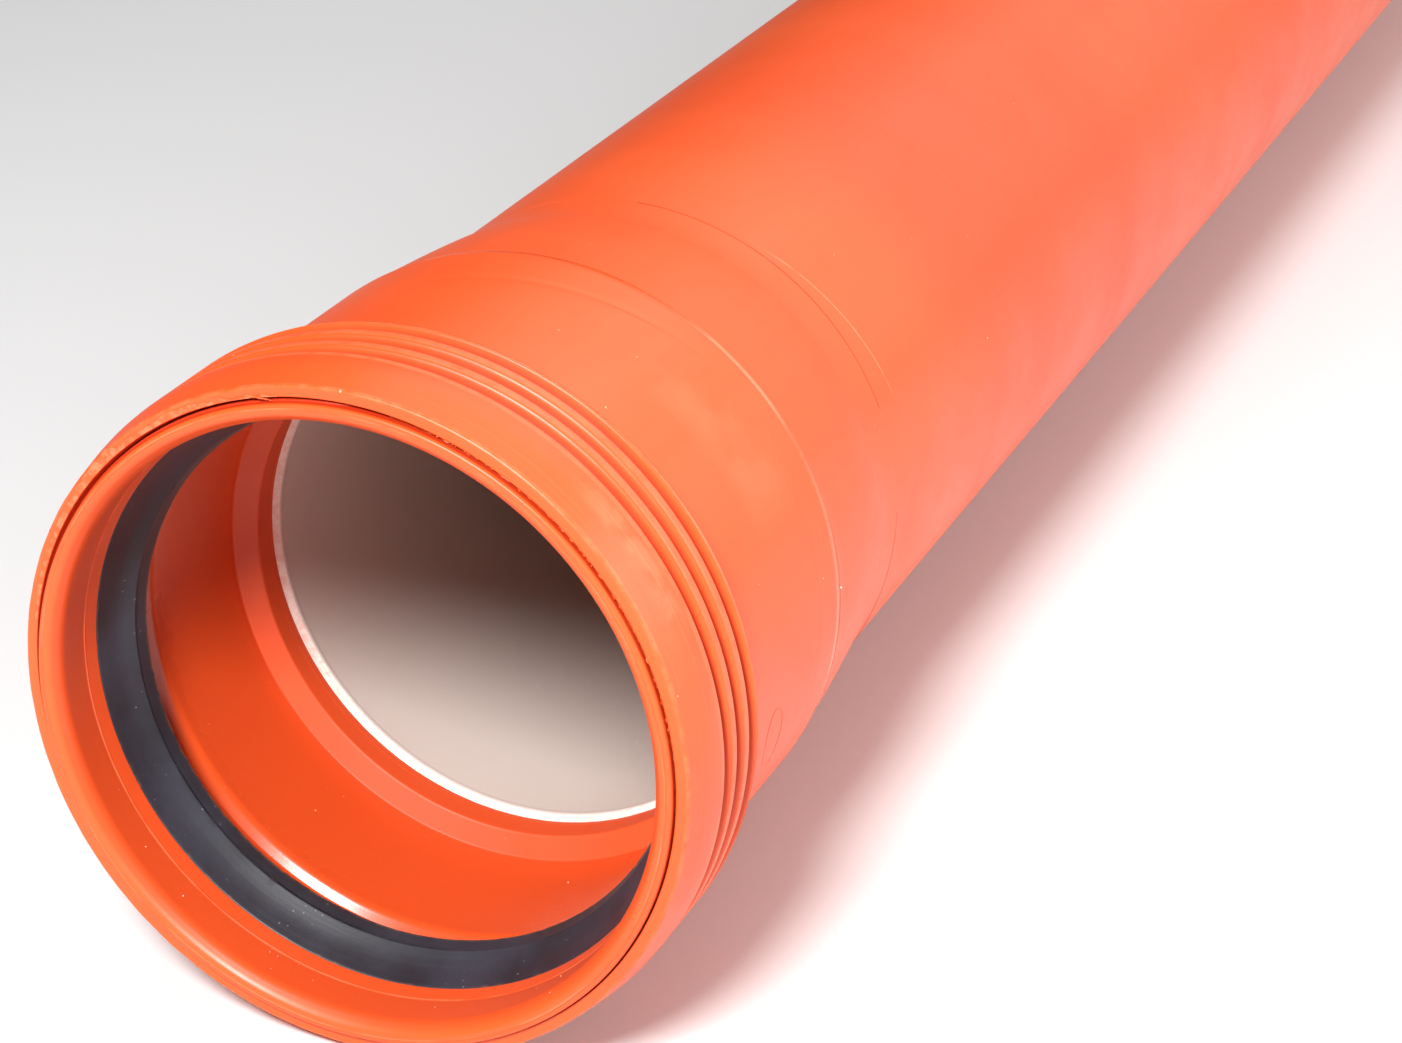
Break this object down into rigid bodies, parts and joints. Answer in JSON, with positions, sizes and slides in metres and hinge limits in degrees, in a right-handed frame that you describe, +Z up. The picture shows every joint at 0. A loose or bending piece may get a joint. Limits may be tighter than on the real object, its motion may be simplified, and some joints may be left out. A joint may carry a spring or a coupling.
{
  "type": "sewer pipe",
  "caption": "Orange plastic sewer pipe with a grooved push-fit socket, locking ring, rubber lip seal and a chamfered spigot end.",
  "frame": {"origin": "middle of the length, under the pipe, at the height of the collar's lowest line", "axes": "+X along the pipe's axis out of the socket's mouth, +Z up, the pipe lying level on its collar"},
  "size_m": [1.0932, 0.184, 0.184],
  "materials": {
    "pipe_plastic": "satin",
    "socket_plastic": "satin",
    "ring_plastic": "satin",
    "seal_rubber": "satin"
  },
  "bodies": {
    "root": {"pipe": "pipe_plastic", "socket": "socket_plastic", "locking_ring": "ring_plastic", "seal_ring": "seal_rubber"}
  },
  "joints": []
}
